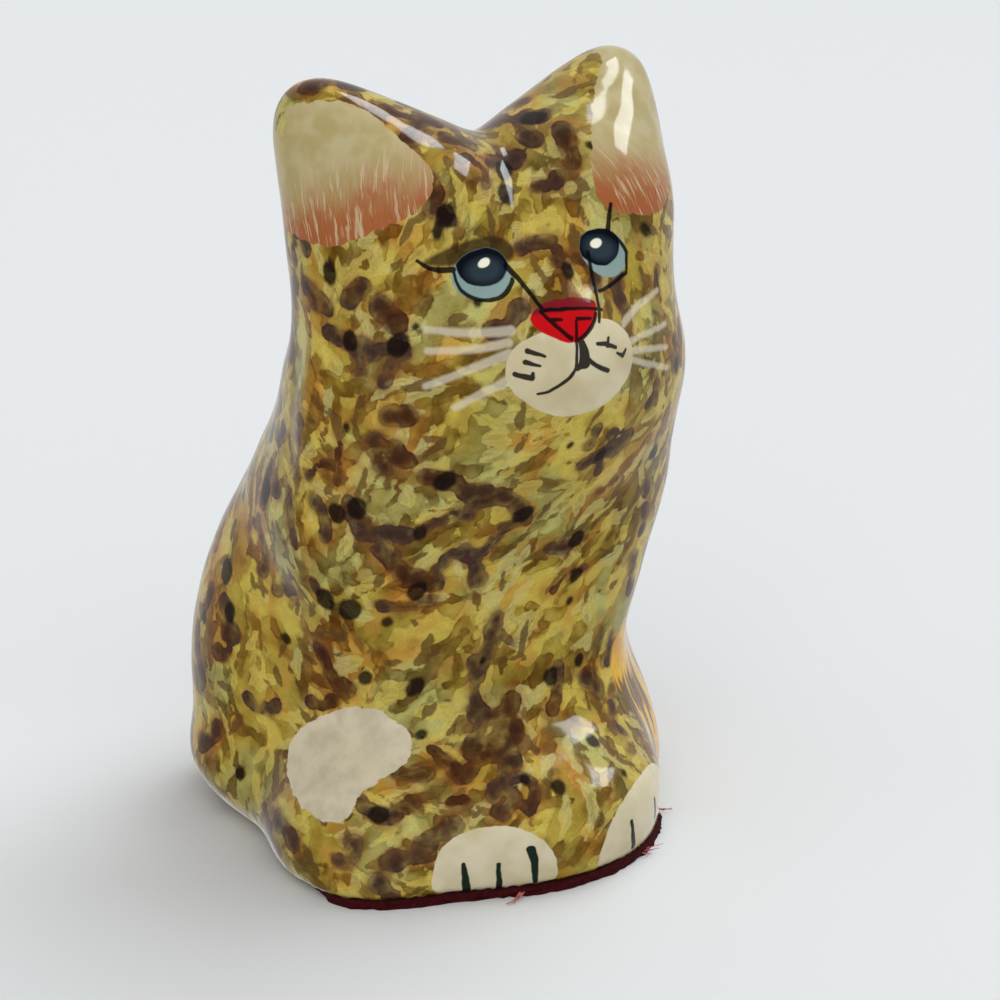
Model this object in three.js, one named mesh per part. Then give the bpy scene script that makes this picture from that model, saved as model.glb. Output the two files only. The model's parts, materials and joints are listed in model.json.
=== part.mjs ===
// A sitting cat ornament: one moulded papier-mache figure on a thin felt pad.
//
// Millimetres, +Z up. The cat faces -Y and its left side is +X.
// The origin is the middle of the pad's underside, where the cat stands.
//
// The figure is found as the skin of a soft union of rounded forms: a trunk with
// a smooth cross section at every level, two haunches, a fuller right hip, a left
// thigh, a broad forefoot, a head, a muzzle and two ears. Rays sent out from a spine
// inside the figure meet that skin, so the mesh is a closed net of rings to the crown.

import * as THREE from "three";

// Driving dimensions, in millimetres.
const FIGURE_HEIGHT = 87; // from the figure's foot to the tips of its ears
const FELT_THICKNESS = 1; // the pad under the foot
const FELT_MARGIN = 0.25; // how far the pad shows past the foot
const FOOT_ROUND = 0.5; // the rounded edge where the figure meets the pad

// How finely the skin is divided.
const COLUMNS = 64; // points round each ring
const TRUNK_RINGS = 28; // level rings, from the foot to the middle of the head
const CROWN_RINGS = 20; // rings that turn upward, from there to the crown

// The figure's form. Each value is a hundredth of the figure's height, and
// levels are measured from its foot.

// The trunk: half its width, and how far it reaches in front and behind.
const TRUNK = [
  { level: 0, half: 28.7, front: 20.2, back: 26.5 },
  { level: 6, half: 27.3, front: 18.5, back: 28.2 },
  { level: 13, half: 24.6, front: 16.6, back: 29.8 },
  { level: 22, half: 22.7, front: 15.0, back: 31.1 },
  { level: 33, half: 25.4, front: 15.5, back: 31.1 },
  { level: 45, half: 27.8, front: 16.5, back: 27.5 },
  { level: 56, half: 24.4, front: 16.3, back: 21.6 },
  { level: 66, half: 20.1, front: 15.1, back: 15.5 },
];
const TRUNK_SQUARENESS = 2.3; // 2 is an oval, and more is nearer a rectangle
const SHOULDER = { level: 75, soft: 16 }; // where the trunk ends inside the head

const HAUNCH = { side: 18.3, y: 15.5, level: 16.5, across: 12.7, along: 15.8, tall: 26.2, soft: 6.9 };
const RIGHT_HIP = { side: -19.5, y: -10.0, level: 1.9, across: 12.5, along: 12.5, tall: 11.9, soft: 6.9 };
const LEFT_THIGH = { side: 16.1, y: 2.3, level: 4.6, across: 12.8, along: 11.6, tall: 13.4, soft: 4.6 };
const FOREFOOT = { y: -16.4, level: 6.8, across: 18.5, along: 12.9, tall: 7.9, soft: 8 };
const FOREFOOT_DROP = 2.2; // the forefoot is this much taller below its widest level
const HEAD = { y: -5.5, level: 63.5, across: 25.2, along: 18.6, tall: 19.0, soft: 10.3 };
const MUZZLE = { y: -18.0, level: 67.2, across: 7.2, along: 5.8, tall: 5.8, soft: 6.9 };
const EAR = {
  root: { side: 11.8, y: -3.9, level: 81.0, radius: 14.1 },
  tip: { side: 20.7, y: 0.1, level: 94.1, radius: 5.9 },
  flat: 0.95, // an ear is this much thinner from front to back
  valley: 6.9, // softness of the dip between the ears
  soft: 6.9,
};

// The spine that the rays start from leans from the foot to the head.
const SPINE_FOOT_Y = 3.4;
const SPINE_HEAD_Y = HEAD.y + 1.1;

const unit = FIGURE_HEIGHT / 100;

// A smooth curve through values given at levels, flat beyond the last one.
function curveThrough(levels, values) {
  const last = levels.length - 1;
  const slopes = values.map((value, i) => {
    const before = Math.max(0, i - 1);
    const after = Math.min(last, i + 1);
    return (values[after] - values[before]) / (levels[after] - levels[before]);
  });
  return (level) => {
    if (level <= levels[0]) return values[0] + slopes[0] * (level - levels[0]);
    if (level >= levels[last]) return values[last];
    const i = levels.findLastIndex((start) => start <= level);
    const span = levels[i + 1] - levels[i];
    const t = (level - levels[i]) / span;
    const ease = t * t * (3 - 2 * t);
    const leave = t * (1 - t) * (1 - t) * span * slopes[i];
    const arrive = t * t * (t - 1) * span * slopes[i + 1];
    return values[i] + (values[i + 1] - values[i]) * ease + leave + arrive;
  };
}

// The union of two forms with a soft join, and their soft overlap.
function join(a, b, soft) {
  const near = Math.max(soft - Math.abs(a - b), 0) / soft;
  return Math.min(a, b) - near * near * soft * 0.25;
}

function overlap(a, b, soft) {
  return -join(-a, -b, soft);
}

// About how far a point lies outside an oval ball.
function outsideBall(x, y, z, ball) {
  const { across, along, tall } = ball;
  const rough = Math.hypot(x / across, y / along, z / tall);
  const slope = Math.hypot(x / across ** 2, y / along ** 2, z / tall ** 2);
  return (rough * (rough - 1)) / (slope + 1e-9);
}

// How far a point lies outside an ear: a cone that is rounded at both ends.
function outsideEar(x, y, z) {
  const { root, tip, flat } = EAR;
  const axis = new THREE.Vector3(tip.side - root.side, (tip.y - root.y) / flat, tip.level - root.level);
  const from = new THREE.Vector3(x - root.side, (y - root.y) / flat, z - root.level);
  const length = axis.length();
  const lean = (root.radius - tip.radius) / length;
  const along = from.dot(axis) / length;
  const away = Math.sqrt(Math.max(from.lengthSq() - along * along, 0));
  const steep = Math.sqrt(1 - lean * lean);
  const foot = along - (away * lean) / steep;
  if (foot <= 0) return Math.hypot(away, along) - root.radius;
  if (foot >= length) return Math.hypot(away, along - length) - tip.radius;
  return away * steep + along * lean - root.radius;
}

const levels = TRUNK.map((station) => station.level);
const halfAt = curveThrough(levels, TRUNK.map((station) => station.half));
const frontAt = curveThrough(levels, TRUNK.map((station) => station.front));
const backAt = curveThrough(levels, TRUNK.map((station) => station.back));

function spineAt(level) {
  const share = THREE.MathUtils.clamp(level / HEAD.level, 0, 1);
  return THREE.MathUtils.lerp(SPINE_FOOT_Y, SPINE_HEAD_Y, share);
}

function outsideTrunk(x, y, z) {
  const half = halfAt(z);
  const middle = spineAt(z);
  const depth = y < middle ? middle + frontAt(z) : backAt(z) - middle;
  const across = Math.abs(x / half) ** TRUNK_SQUARENESS;
  const along = Math.abs((y - middle) / depth) ** TRUNK_SQUARENESS;
  const ratio = (across + along) ** (1 / TRUNK_SQUARENESS);
  return overlap((ratio - 1) * Math.min(half, depth), z - SHOULDER.level, SHOULDER.soft);
}

// How far a point lies outside the whole figure; negative inside it.
function outsideFigure(x, y, z) {
  const side = Math.abs(x);
  const haunch = outsideBall(side - HAUNCH.side, y - HAUNCH.y, z - HAUNCH.level, HAUNCH);
  const overFoot = z - FOREFOOT.level;
  const forefootLevel = overFoot < 0 ? overFoot / FOREFOOT_DROP : overFoot;
  const forefoot = outsideBall(x, y - FOREFOOT.y, forefootLevel, FOREFOOT);
  const hip = outsideBall(x - RIGHT_HIP.side, y - RIGHT_HIP.y, z - RIGHT_HIP.level, RIGHT_HIP);
  const thigh = outsideBall(x - LEFT_THIGH.side, y - LEFT_THIGH.y, z - LEFT_THIGH.level, LEFT_THIGH);
  const head = outsideBall(x, y - HEAD.y, z - HEAD.level, HEAD);
  const muzzle = outsideBall(x, y - MUZZLE.y, z - MUZZLE.level, MUZZLE);
  const ears = join(outsideEar(x, y, z), outsideEar(-x, y, z), EAR.valley);
  let outside = outsideTrunk(x, y, z);
  outside = join(outside, haunch, HAUNCH.soft);
  outside = join(outside, forefoot, FOREFOOT.soft);
  outside = join(outside, hip, RIGHT_HIP.soft);
  outside = join(outside, thigh, LEFT_THIGH.soft);
  outside = join(outside, head, HEAD.soft);
  outside = join(outside, ears, EAR.soft);
  return join(outside, muzzle, MUZZLE.soft);
}

// The distance from a point on the spine to the skin, along one direction.
function reach(origin, direction) {
  const outsideAt = (distance) => {
    const p = origin.clone().addScaledVector(direction, distance);
    return outsideFigure(p.x, p.y, p.z);
  };
  let far = 60;
  let near = far;
  while (near > 0 && outsideAt(near) >= 0) {
    far = near;
    near -= 0.5;
  }
  for (let step = 0; step < 14; step += 1) {
    const middle = (near + far) / 2;
    if (outsideAt(middle) < 0) near = middle;
    else far = middle;
  }
  return (near + far) / 2;
}

// One ring of points, in millimetres: level when rise is 0, or turned upward.
function ring(level, rise, inset) {
  const origin = new THREE.Vector3(0, spineAt(level), level);
  return Array.from({ length: COLUMNS }, (_, column) => {
    const turn = (2 * Math.PI * column) / COLUMNS;
    const direction = new THREE.Vector3(
      Math.sin(turn) * Math.cos(rise),
      -Math.cos(turn) * Math.cos(rise),
      Math.sin(rise),
    );
    const distance = reach(origin, direction) - inset / unit;
    return origin.clone().addScaledVector(direction, distance).multiplyScalar(unit);
  });
}

function figureRings() {
  const rings = [];
  const edge = FOOT_ROUND / unit;
  for (const turn of [0, Math.PI / 4]) {
    rings.push(ring(edge * (1 - Math.cos(turn)), 0, FOOT_ROUND * (1 - Math.sin(turn))));
  }
  for (let i = 0; i <= TRUNK_RINGS; i += 1) {
    rings.push(ring(THREE.MathUtils.lerp(edge, HEAD.level, i / TRUNK_RINGS), 0, 0));
  }
  for (let i = 1; i < CROWN_RINGS; i += 1) {
    rings.push(ring(HEAD.level, (Math.PI / 2) * (i / CROWN_RINGS), 0));
  }
  return rings;
}

// A closed net through rings of points, with a fan at its top and at its bottom.
function closedNet(rings, bottom, top) {
  const points = rings.flat();
  const faces = [];
  const next = (column) => (column + 1) % COLUMNS;
  for (let row = 0; row + 1 < rings.length; row += 1) {
    for (let column = 0; column < COLUMNS; column += 1) {
      const a = row * COLUMNS + column;
      const b = row * COLUMNS + next(column);
      faces.push(a, b, b + COLUMNS, a, b + COLUMNS, a + COLUMNS);
    }
  }
  const bottomIndex = points.push(bottom) - 1;
  const topIndex = points.push(top) - 1;
  const lastRow = (rings.length - 1) * COLUMNS;
  for (let column = 0; column < COLUMNS; column += 1) {
    faces.push(next(column), column, bottomIndex);
    faces.push(lastRow + column, lastRow + next(column), topIndex);
  }
  const geometry = new THREE.BufferGeometry().setFromPoints(points);
  geometry.setIndex(faces);
  geometry.computeVertexNormals();
  return geometry;
}

function catBody() {
  const rings = figureRings();
  const bottom = new THREE.Vector3(0, spineAt(0) * unit, 0);
  const crown = new THREE.Vector3(0, spineAt(HEAD.level), HEAD.level);
  crown.z += reach(crown, new THREE.Vector3(0, 0, 1));
  const geometry = closedNet(rings, bottom, crown.multiplyScalar(unit));
  const lacquer = new THREE.MeshStandardMaterial({ color: 0xa08a35, roughness: 0.22, metalness: 0 });
  const mesh = new THREE.Mesh(geometry, lacquer);
  mesh.name = "cat_body";
  mesh.position.z = FELT_THICKNESS;
  return mesh;
}

// The pad follows the foot's outline, a little outside it.
function feltPad() {
  const outline = ring(FOOT_ROUND / unit, 0, -FELT_MARGIN);
  const atHeight = (z) => outline.map((point) => point.clone().setZ(z));
  const middle = new THREE.Vector3(0, spineAt(0) * unit, 0);
  const top = middle.clone().setZ(FELT_THICKNESS);
  const geometry = closedNet([atHeight(0), atHeight(FELT_THICKNESS)], middle, top);
  const felt = new THREE.MeshStandardMaterial({ color: 0x4a0f12, roughness: 0.95, metalness: 0 });
  const mesh = new THREE.Mesh(geometry, felt);
  mesh.name = "felt_pad";
  return mesh;
}

const group = new THREE.Group();
group.name = "sitting_cat";
group.add(catBody(), feltPad());

export default group;
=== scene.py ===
"""A painted papier-mache cat on its felt pad: coat, face, lacquer, light and camera.

Sizes are in millimetres and turned to metres with MM. Places on the cat are given unrolled: u is the way
round it from the middle of its front, towards its left side, and z is the height above the felt's underside.
"""

import json
import math

import bpy
import numpy as np
from mathutils import Matrix, Vector
from mathutils.kdtree import KDTree

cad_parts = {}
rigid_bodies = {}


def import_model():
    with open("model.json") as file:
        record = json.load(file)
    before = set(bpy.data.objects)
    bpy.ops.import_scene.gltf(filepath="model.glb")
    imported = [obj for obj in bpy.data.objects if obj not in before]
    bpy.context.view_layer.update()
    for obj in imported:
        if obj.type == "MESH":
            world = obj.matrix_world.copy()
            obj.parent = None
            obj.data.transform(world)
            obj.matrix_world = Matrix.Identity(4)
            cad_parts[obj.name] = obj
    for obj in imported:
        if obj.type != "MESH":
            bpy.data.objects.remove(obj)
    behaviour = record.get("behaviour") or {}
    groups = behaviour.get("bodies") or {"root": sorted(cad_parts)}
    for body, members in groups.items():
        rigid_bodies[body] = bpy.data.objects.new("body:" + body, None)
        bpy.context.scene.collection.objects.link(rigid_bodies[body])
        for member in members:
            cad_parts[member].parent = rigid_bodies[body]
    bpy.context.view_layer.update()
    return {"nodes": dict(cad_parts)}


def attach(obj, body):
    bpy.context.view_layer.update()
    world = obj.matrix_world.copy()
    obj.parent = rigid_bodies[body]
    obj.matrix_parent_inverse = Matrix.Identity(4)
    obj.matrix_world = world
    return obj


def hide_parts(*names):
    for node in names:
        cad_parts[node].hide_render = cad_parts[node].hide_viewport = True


MM = 0.001
FELT_TOP = 1.0
UNROLL_RADIUS = 22.0
UNROLL_MIDDLE_Y = 2.0

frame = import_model()


# Modelling helpers

def only(piece):
    """Leaves one piece selected and active."""
    for other in bpy.context.view_layer.objects:
        other.select_set(False)
    piece.select_set(True)
    bpy.context.view_layer.objects.active = piece


def finish_with(piece, kind, **settings):
    """Adds a modifier and applies it."""
    only(piece)
    made = piece.modifiers.new(kind.lower(), kind)
    for key, value in settings.items():
        setattr(made, key, value)
    bpy.ops.object.modifier_apply(modifier=made.name)


def copy_of_node(node, name):
    """A merged copy of a CAD node's mesh, as an object of its own."""
    piece = bpy.data.objects.new(name, frame["nodes"][node].data.copy())
    bpy.context.scene.collection.objects.link(piece)
    piece.data.materials.clear()
    only(piece)
    if piece.data.has_custom_normals:
        bpy.ops.mesh.customdata_custom_splitnormals_clear()
    bpy.ops.object.mode_set(mode="EDIT")
    bpy.ops.mesh.select_all(action="SELECT")
    bpy.ops.mesh.remove_doubles(threshold=0.01 * MM)
    bpy.ops.mesh.tris_convert_to_quads(face_threshold=math.radians(60), shape_threshold=math.radians(60))
    bpy.ops.mesh.normals_make_consistent(inside=False)
    bpy.ops.object.mode_set(mode="OBJECT")
    return piece


def points_of(mesh):
    """A mesh's points in millimetres."""
    flat = np.empty(len(mesh.vertices) * 3)
    mesh.vertices.foreach_get("co", flat)
    return flat.reshape(-1, 3) / MM


def move_points(mesh, points):
    """Puts a mesh's points where a list in millimetres says."""
    mesh.vertices.foreach_set("co", (points * MM).ravel())
    mesh.update()


def angle_round(points):
    """Each point's angle round the cat, from the middle of its front towards its left side."""
    return np.arctan2(points[:, 0], -(points[:, 1] - UNROLL_MIDDLE_Y))


def unrolled(points):
    """Each point's u and z."""
    return np.column_stack([UNROLL_RADIUS * angle_round(points), points[:, 2]])


# The moulded figure

REMESH_STEP = 0.46
PULP_SCALE = 9.0
PULP_HEIGHT = 0.34
RESTING_BELOW = FELT_TOP + 0.2
# The foot rounds in under the body at the sides and back, and the felt is set in further
FOOT_ROUND_HEIGHT = 3.5
FOOT_INSET = 0.7
FELT_INSET = 3.2
FULL_INSET_REACH = 20.0
INSET_FROM = math.radians(-52), math.radians(40)
INSET_FULL = math.radians(-68), math.radians(58)
# A low fullness at the back of the right side
FOOT_FILL = 2.0
FOOT_FILL_AT = math.radians(-112)
FOOT_FILL_SPREAD = 0.45
FOOT_FILL_HEIGHT = 5.5
FOOT_FILL_TALL = 4.0


def smooth_share(value, low, high):
    """Runs smoothly from 0 at low to 1 at high."""
    share = np.clip((value - low) / (high - low), 0, 1)
    return share * share * (3 - 2 * share)


def side_and_back(points):
    """Runs from 0 at the front to 1 at the sides and back, where the foot is drawn in under the body."""
    angle = angle_round(points)
    right = smooth_share(-angle, -INSET_FROM[0], -INSET_FULL[0])
    left = smooth_share(angle, INSET_FROM[1], INSET_FULL[1])
    return np.maximum(right, left)


def drawn_in(points, amount):
    """Points moved level towards the figure's axis, less near it."""
    middle = np.array([0.0, UNROLL_MIDDLE_Y])
    offset = points[:, :2] - middle
    reach = np.maximum(np.linalg.norm(offset, axis=1), 1e-6)
    step = amount * np.minimum(1, reach / FULL_INSET_REACH)
    moved = points.copy()
    moved[:, :2] -= offset / reach[:, None] * step[:, None]
    return moved


def moulded_figure():
    """The cat's body with soft, slightly uneven pulp, close to the CAD solid."""
    smooth = copy_of_node("cat_body", "smooth_guide")
    finish_with(smooth, "SUBSURF", levels=2, render_levels=2)
    cat = copy_of_node("cat_body", "painted_cat")
    finish_with(cat, "SUBSURF", levels=1, render_levels=1)
    finish_with(cat, "REMESH", mode="VOXEL", voxel_size=REMESH_STEP * MM)
    finish_with(cat, "SHRINKWRAP", target=smooth, wrap_method="NEAREST_SURFACEPOINT")
    bpy.data.objects.remove(smooth)
    pulp = bpy.data.textures.new("pulp_unevenness", "CLOUDS")
    pulp.noise_scale = PULP_SCALE * MM
    pulp.noise_depth = 1
    finish_with(cat, "DISPLACE", texture=pulp, texture_coords="LOCAL",
                strength=PULP_HEIGHT * MM, mid_level=0.5)
    points = points_of(cat.data)
    points[points[:, 2] < RESTING_BELOW, 2] = FELT_TOP
    low = np.clip(1 - (points[:, 2] - FELT_TOP) / FOOT_ROUND_HEIGHT, 0, 1)
    points = drawn_in(points, FOOT_INSET * side_and_back(points) * low ** 2)
    aside = (angle_round(points) - FOOT_FILL_AT) / FOOT_FILL_SPREAD
    above = (points[:, 2] - FOOT_FILL_HEIGHT) / FOOT_FILL_TALL
    fill = np.exp(-aside ** 2 - above ** 2)
    move_points(cat.data, drawn_in(points, -FOOT_FILL * fill))
    only(cat)
    bpy.ops.object.shade_smooth()
    return cat


# Marks of the brush, written on the figure's points as millimetres inside an edge

UNMARKED = -2.0
DAB_MARGIN = 1.2
DAB_BOW = 0.06
COMB_SHIFT = 50
TRAIL_STEP = 0.7


class Skin:
    """The figure's points, normals and combing, ready for laying marks on."""

    def __init__(self, piece):
        """Reads a piece's points and sets up the search for near ones."""
        self.mesh = piece.data
        self.points = points_of(self.mesh)
        flat = np.empty(len(self.mesh.vertices) * 3)
        self.mesh.vertices.foreach_get("normal", flat)
        self.normals = flat.reshape(-1, 3)
        self.places = unrolled(self.points)
        self.tree = KDTree(len(self.points))
        for index, point in enumerate(self.points):
            self.tree.insert(point, index)
        self.tree.balance()
        self.paintable = np.nonzero(self.points[:, 2] > FELT_TOP + 0.05)[0]

    def near(self, point, reach):
        """The points of the skin within a reach of a point."""
        return np.array([found[1] for found in self.tree.find_range(point, reach)], dtype=int)

    def at(self, place):
        """The point of the skin closest to an unrolled place."""
        gap = (self.places - np.array(place)) ** 2
        return int(np.argmin(gap.sum(axis=1)))

    def write(self, name, values):
        """Keeps a field on the figure, for its material to read."""
        layer = self.mesh.attributes.new(name, "FLOAT", "POINT")
        layer.data.foreach_set("value", values.astype(np.float32))


# The way the brush went: u, z and the angle in degrees from level, seen from outside
COMBING = [
    (-25, 62, 100), (-26, 53, 80), (-14, 58, 15), (-4, 46, 20), (11, 50, 65), (-22, 44, 80),
    (-14, 36, 35), (-12, 28, 40), (10, 29, 40), (-40, 28, 100), (-37, 12, 115), (-13, 13, 30),
    (4, 14, 75), (-22, 6, -15), (-15, 4, 5), (-2, 78, 30), (-2, 70, 60), (22, 62, 80), (26, 53, 100),
    (24, 40, 105), (40, 28, 80), (37, 12, 65), (22, 6, 15), (60, 60, 95), (62, 30, 80), (60, 8, 70),
    (-60, 60, 85), (-60, 35, 100), (-58, 10, 105), (-18, 72, 70), (18, 72, 110),
]


def combed(place, spread):
    """The brush's direction at a place, in radians, turned by a random spread."""
    along = 0.0
    up = 0.0
    for u, z, angle in COMBING:
        weight = 1 / (((place[0] - u) ** 2 + (place[1] - z) ** 2) + 30) ** 2
        along += weight * math.cos(2 * math.radians(angle))
        up += weight * math.sin(2 * math.radians(angle))
    return 0.5 * math.atan2(up, along) + spread


def brush_axes(skin, index, angle):
    """Directions along and across a stroke, in the skin's own surface."""
    normal = skin.normals[index]
    x, y = skin.points[index][0], skin.points[index][1] - UNROLL_MIDDLE_Y
    level = np.array([-y, x, 0.0])
    if np.linalg.norm(level) < 1:
        level = np.array([1.0, 0.0, 0.0])
    level = level - normal * (normal @ level)
    level = level / np.linalg.norm(level)
    upward = np.cross(normal, level)
    along = math.cos(angle) * level + math.sin(angle) * upward
    return along, np.cross(normal, along)


def lay_dab(skin, field, index, angle, half_long, half_wide, bow=0.0, pointed=False, comb=None, shift=0.0):
    """Adds one dab to a field of millimetres inside the marks, with round or pointed ends."""
    along_axis, across_axis = brush_axes(skin, index, angle)
    found = skin.near(skin.points[index], half_long + DAB_MARGIN)
    offset = skin.points[found] - skin.points[index]
    along = offset @ along_axis
    across = offset @ across_axis - bow * along ** 2
    if pointed:
        inside = half_wide * (1 - (along / half_long) ** 2) - np.abs(across)
    else:
        inside = (1 - np.sqrt((along / half_long) ** 2 + (across / half_wide) ** 2)) * half_wide
    inside[skin.normals[found] @ skin.normals[index] < 0.1] = UNMARKED
    if comb is not None:
        fresh = inside > 0
        comb[found[fresh]] = across[fresh] + shift
    field[found] = np.maximum(field[found], inside)


def lay_layer(skin, rng, name, count, longs, wides, spread, pointed=False, comb=None):
    """Lays a layer of dabs that follow the combing, and writes it on the skin."""
    field = np.full(len(skin.points), UNMARKED)
    for index in rng.choice(skin.paintable, count):
        angle = combed(skin.places[index], rng.normal(0, spread))
        size = rng.uniform(*longs), rng.uniform(*wides)
        bow = rng.normal(0, DAB_BOW)
        lay_dab(skin, field, index, angle, *size, bow, pointed, comb, rng.uniform(0, COMB_SHIFT))
    skin.write(name, field)


# The larger dark hooks, each by its half width and its route over the unrolled cat
HOOKS = [
    (1.1, [(-9.3, 44.1), (-6.6, 44.6), (-3.8, 42.9), (-2.4, 40.9)]),
    (0.75, [(-3.5, 41.0), (-5.5, 40.1), (-7.7, 37.6)]),
    (1.15, [(-22.4, 43.9), (-21.4, 41.0), (-17.4, 40.4)]),
    (1.2, [(-19.5, 38.3), (-17.4, 35.3), (-14.9, 34.4)]),
    (0.75, [(-14.9, 34.4), (-12.2, 37.7), (-9.3, 37.5)]),
    (1.1, [(-14.4, 47.9), (-11.2, 46.6)]),
    (1.2, [(-17.6, 50.8), (-16.6, 49.8)]),
    (0.9, [(-14.2, 14.7), (-10.9, 12.6), (-7.6, 14.2), (-4.0, 16.8)]),
    (0.95, [(-20.4, 11.0), (-17.8, 9.7), (-15.6, 10.9)]),
    (0.4, [(-22.7, 51.3), (-23.5, 46.5)]),
    (0.8, [(-30.0, 43.5), (-29.2, 38.4)]),
    (1.3, [(-35.2, 44.3), (-36.1, 41.1)]),
    (1.2, [(13.6, 82.4), (11.6, 81.8), (10.2, 80.3), (9.2, 78.6)]),
    (1.0, [(-24.0, 62.8), (-20.3, 61.6), (-17.0, 61.7)]),
    (1.1, [(-27.4, 67.0), (-25.0, 65.4)]),
    (1.0, [(4.0, 47.0), (9.5, 48.9)]),
    (0.9, [(3.4, 36.0), (6.0, 35.5)]),
    (0.8, [(-2.6, 70.8), (2.4, 70.9), (3.2, 68.8)]),
    (0.9, [(-14.2, 75.5), (-12.4, 74.6)]),
    (1.1, [(-16.4, 83.2), (-18.8, 84.6)]),
    (1.0, [(-8.4, 22.0), (-6.2, 25.5), (-5.6, 28.5)]),
]


def lay_trail(skin, field, index, angle, turns, half_wide):
    """Lays one bending stroke of a loaded brush, fuller at its ends."""
    at = skin.points[index].copy()
    for number, turn in enumerate(turns):
        share = 2 * number / max(len(turns) - 1, 1) - 1
        wide = half_wide * (0.7 + 0.4 * share ** 2)
        lay_dab(skin, field, index, angle, wide * 1.25, wide)
        along = brush_axes(skin, index, angle)[0]
        at = at + along * TRAIL_STEP
        index = skin.tree.find(at)[1]
        normal = skin.normals[index]
        at = at - normal * (normal @ (at - skin.points[index]))
        angle += turn


def lay_trails(skin, rng, name, count):
    """Lays the dark blotches: short bent strokes anywhere, and the larger hooks at their own places."""
    field = np.full(len(skin.points), UNMARKED)
    for index in rng.choice(skin.paintable, count):
        steps = rng.integers(2, 9)
        turns = rng.normal(rng.normal(0, 0.22), 0.12, steps)
        angle = combed(skin.places[index], rng.normal(0, 0.7))
        lay_trail(skin, field, index, angle, turns, rng.uniform(0.45, 1.25))
    for half_wide, route in HOOKS:
        for a, b in zip(route, route[1:]):
            steps = max(int(math.dist(a, b) / TRAIL_STEP), 1)
            for step in range(steps + 1):
                share = step / steps
                at = a[0] + (b[0] - a[0]) * share, a[1] + (b[1] - a[1]) * share
                wide = half_wide * rng.uniform(0.85, 1.1)
                angle = math.atan2(b[1] - a[1], b[0] - a[0])
                lay_dab(skin, field, skin.at(at), angle, wide * 1.3, wide)
    skin.write(name, field)


def rounded(outline, times=2):
    """An outline with its corners cut again and again, as a brush rounds them."""
    for _ in range(times):
        outline = [
            (a[0] + (b[0] - a[0]) * share, a[1] + (b[1] - a[1]) * share)
            for a, b in zip(outline, outline[1:] + outline[:1])
            for share in (0.25, 0.75)
        ]
    return outline


def inside_outline(places, outline):
    """Millimetres inside a closed outline, below zero outside it."""
    gap = np.full(len(places), 1e9)
    crossings = np.zeros(len(places), dtype=int)
    for a, b in zip(outline, outline[1:] + outline[:1]):
        a, b = np.array(a), np.array(b)
        edge = b - a
        share = np.clip(((places - a) @ edge) / max(edge @ edge, 1e-9), 0, 1)
        gap = np.minimum(gap, np.linalg.norm(places - a - share[:, None] * edge, axis=1))
        spans = (a[1] > places[:, 1]) != (b[1] > places[:, 1])
        height = np.where(abs(edge[1]) < 1e-9, 1e-9, edge[1])
        crossings += spans & (places[:, 0] < a[0] + (places[:, 1] - a[1]) * edge[0] / height)
    return np.where(crossings % 2 == 1, gap, -gap)


# The painted areas. The ears' outlines are seen from the front, as x and z; the others are unrolled
NEAR_EAR = [
    (-23.6, 79.1), (-23.4, 75.5), (-23.0, 72.8), (-22.5, 71.8), (-21.6, 71.9), (-20.3, 72.3),
    (-18.8, 73.4), (-15.6, 74.9), (-13.0, 76.3), (-11.6, 77.7), (-11.0, 79.5), (-11.8, 80.9),
    (-13.0, 82.2), (-14.1, 83.6), (-14.7, 84.9), (-17.2, 85.8), (-20.1, 86.0), (-22.3, 85.0),
]
FAR_EAR = [
    (17.3, 88.2), (14.7, 86.0), (11.8, 83.6), (9.3, 81.2), (7.8, 78.5), (7.4, 76.1), (7.8, 74.3),
    (9.4, 73.2), (12.7, 72.4), (16.4, 71.7), (18.9, 73.9), (21.4, 78.2), (21.7, 82.3), (21.4, 85.3),
    (20.2, 88.0),
]
LID_SHADE = [
    (-15.6, 70.5), (-13.4, 70.2), (-11.6, 70.1), (-8.5, 70.8), (-5.2, 69.6), (-3.7, 70.2), (-4.4, 71.8),
    (-8.2, 72.7), (-11.6, 72.2), (-13.8, 71.5),
]
THIGH = [
    (17.6, 20.5), (17.2, 15.0), (18.6, 9.5), (21.0, 5.0), (30.0, 2.6), (44.0, 2.8), (58.0, 3.6),
    (66.0, 6.0), (66.0, 11.0), (58.0, 12.0), (46.0, 12.4), (38.0, 17.0), (30.0, 21.6), (22.0, 22.6),
]
NOSE = [
    (-4.0, 64.7), (-2.0, 65.9), (1.7, 66.0), (4.7, 65.3), (4.7, 64.4), (3.2, 63.2), (1.5, 61.8),
    (-0.3, 61.8), (-1.9, 62.6), (-3.7, 63.8),
]
HIP_PATCH = [
    (-32.1, 10.3), (-32.6, 13.5), (-29.4, 16.9), (-23.5, 19.1), (-18.9, 17.4), (-16.7, 15.2),
    (-17.5, 13.4), (-20.7, 12.0), (-20.7, 9.8), (-21.4, 8.9), (-25.8, 8.8),
]
NEAR_PAW = [
    (-13.8, 0.6), (-13.6, 4.3), (-12.8, 7.0), (-10.1, 8.7), (-6.5, 8.9), (-3.4, 6.9), (-2.0, 2.8),
    (-2.4, 0.6),
]
FAR_PAW = [
    (2.2, 0.6), (2.2, 3.3), (3.3, 7.3), (6.2, 9.2), (9.2, 9.7), (13.2, 9.4), (16.0, 6.6), (16.8, 3.0),
    (16.6, 0.6),
]
MUZZLE = [
    (-6.9, 59.9), (-5.9, 62.3), (-2.0, 63.4), (2.0, 63.8), (5.6, 63.4), (8.2, 61.4), (8.9, 58.8),
    (7.9, 56.2), (4.9, 54.0), (1.0, 53.5), (-2.2, 54.1), (-5.2, 56.2), (-6.8, 58.2),
]
EAR_PAINT_BACK_Y = 0.8
AREA_RANGE = -3, 9

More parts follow.
